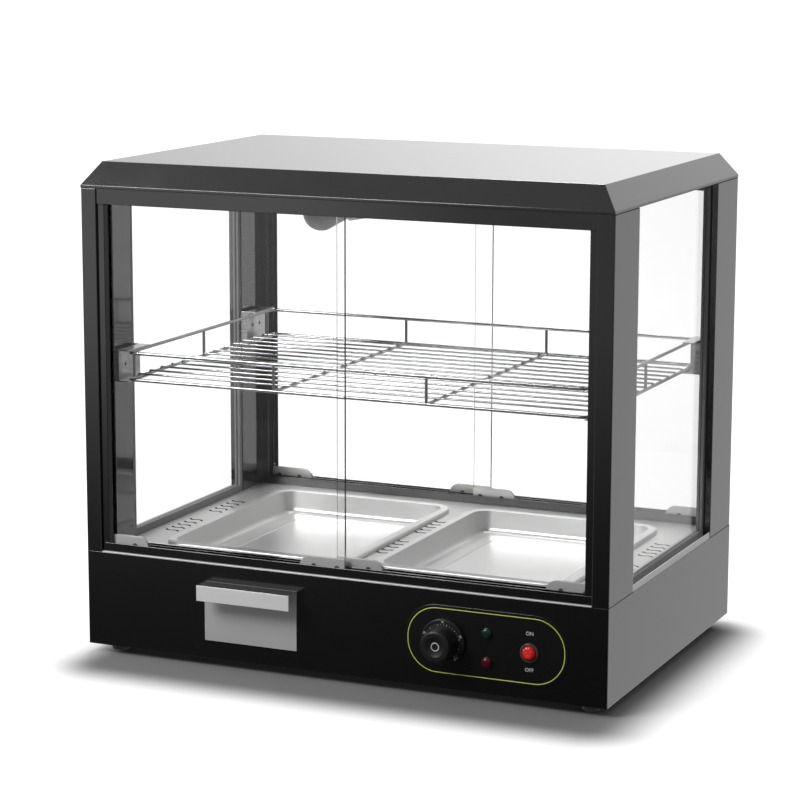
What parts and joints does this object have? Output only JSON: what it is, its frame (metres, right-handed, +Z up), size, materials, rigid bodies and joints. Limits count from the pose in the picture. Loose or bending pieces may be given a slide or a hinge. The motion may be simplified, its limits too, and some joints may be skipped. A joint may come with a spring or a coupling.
{
  "type": "food warmer",
  "caption": "Counter-top food warmer: black base with drawer, dial and switch, glazed chamber with sliding doors, wire shelf and pans, and a slope-edged cover.",
  "frame": {"origin": "middle of the whole cabinet's footprint, handle and gland included, on the surface that its feet stand on", "axes": "+X to the right seen from the front, -Y towards the front where the drawer and dial are, +Z up"},
  "size_m": [0.66, 0.492, 0.59],
  "materials": {
    "black_enamel": "gloss",
    "label_enamel": "satin",
    "stainless": "satin",
    "drawer_steel": "satin",
    "zinc_steel": "galvanised",
    "heater_steel": "matt oxide",
    "screw_steel": "bright",
    "bright_chrome": "polished",
    "cap_metal": "satin",
    "window_glass": "clear",
    "frosted_glass": "frosted",
    "grey_gasket": "satin",
    "black_rubber": "matt",
    "black_plastic": "fine texture",
    "roller_nylon": "satin",
    "terminal_plastic": "satin",
    "lamp_ceramic": "glazed",
    "green_lens": "clear moulded",
    "red_lens": "clear moulded",
    "bezel_plastic": "moulded",
    "rocker_red": "clear moulded"
  },
  "bodies": {
    "cabinet": {"base_rear_panel": "black_enamel", "base_shell": "black_enamel", "bottom_plate": "zinc_steel", "cable_gland": "black_plastic", "ceiling_liner": "black_enamel", "control_plate": "label_enamel", "deck_panel": "stainless", "door_jambs": "black_enamel", "drawer_runners": "zinc_steel", "front_header_track": "black_enamel", "front_left_post": "black_enamel", "front_right_post": "black_enamel", "front_sill_track": "black_enamel", "green_indicator": "green_lens", "head_rails": "black_enamel", "heater_bars": "zinc_steel", "jamb_seals": "black_rubber", "lamp_bracket": "zinc_steel", "lamp_bulb": "frosted_glass", "lamp_cap": "cap_metal", "lamp_holder": "lamp_ceramic", "left_heater": "heater_steel", "left_side_gasket": "grey_gasket", "left_side_glass": "window_glass", "rear_header_track": "black_enamel", "rear_left_post": "black_enamel", "rear_panel_screws": "screw_steel", "rear_right_post": "black_enamel", "rear_sill_track": "black_enamel", "red_indicator": "red_lens", "right_heater": "heater_steel", "right_side_gasket": "grey_gasket", "right_side_glass": "window_glass", "rubber_feet": "black_rubber", "shelf_brackets": "stainless", "shelf_screws": "screw_steel", "switch_housing": "bezel_plastic", "terminal_block": "terminal_plastic", "thermostat_body": "black_plastic", "thermostat_sensor": "cap_metal", "top_cover": "black_enamel", "wire_shelf": "bright_chrome"},
    "front_left_door": {"front_left_door_glass": "window_glass", "front_left_door_clips": "stainless", "front_left_door_rollers": "roller_nylon"},
    "front_right_door": {"front_right_door_glass": "window_glass", "front_right_door_clips": "stainless", "front_right_door_rollers": "roller_nylon"},
    "rear_left_door": {"rear_left_door_glass": "window_glass", "rear_left_door_clips": "stainless", "rear_left_door_rollers": "roller_nylon"},
    "rear_right_door": {"rear_right_door_glass": "window_glass", "rear_right_door_clips": "stainless", "rear_right_door_rollers": "roller_nylon"},
    "drawer": {"drawer_box": "stainless", "drawer_front": "drawer_steel"},
    "left_tray": {"left_pan": "stainless"},
    "right_tray": {"right_pan": "stainless"},
    "dial": {"thermostat_knob": "black_plastic"},
    "rocker": {"switch_rocker": "rocker_red"}
  },
  "joints": [
    {"name": "front_left_door_slide", "type": "slide", "parent": "cabinet", "child": "front_left_door", "axis": [1, 0, 0], "range_m": [0, 0.3]},
    {"name": "front_right_door_slide", "type": "slide", "parent": "cabinet", "child": "front_right_door", "axis": [-1, 0, 0], "range_m": [0, 0.3]},
    {"name": "rear_left_door_slide", "type": "slide", "parent": "cabinet", "child": "rear_left_door", "axis": [1, 0, 0], "range_m": [-0.006, 0.294]},
    {"name": "rear_right_door_slide", "type": "slide", "parent": "cabinet", "child": "rear_right_door", "axis": [-1, 0, 0], "range_m": [0, 0.3]},
    {"name": "drawer_slide", "type": "slide", "parent": "cabinet", "child": "drawer", "axis": [0, -1, 0], "range_m": [0, 0.17]},
    {"name": "left_pan_lift", "type": "slide", "parent": "cabinet", "child": "left_tray", "axis": [0, 0, 1], "range_m": [0, 0.1]},
    {"name": "right_pan_lift", "type": "slide", "parent": "cabinet", "child": "right_tray", "axis": [0, 0, 1], "range_m": [0, 0.1]},
    {"name": "dial_turn", "type": "hinge", "parent": "cabinet", "child": "dial", "pos_m": [0.134, -0.2304, 0.066], "axis": [0, 1, 0], "range_deg": [0, 270]},
    {"name": "rocker_tilt", "type": "hinge", "parent": "cabinet", "child": "rocker", "pos_m": [0.238, -0.2183, 0.065], "axis": [1, 0, 0], "range_deg": [0, 18]}
  ]
}
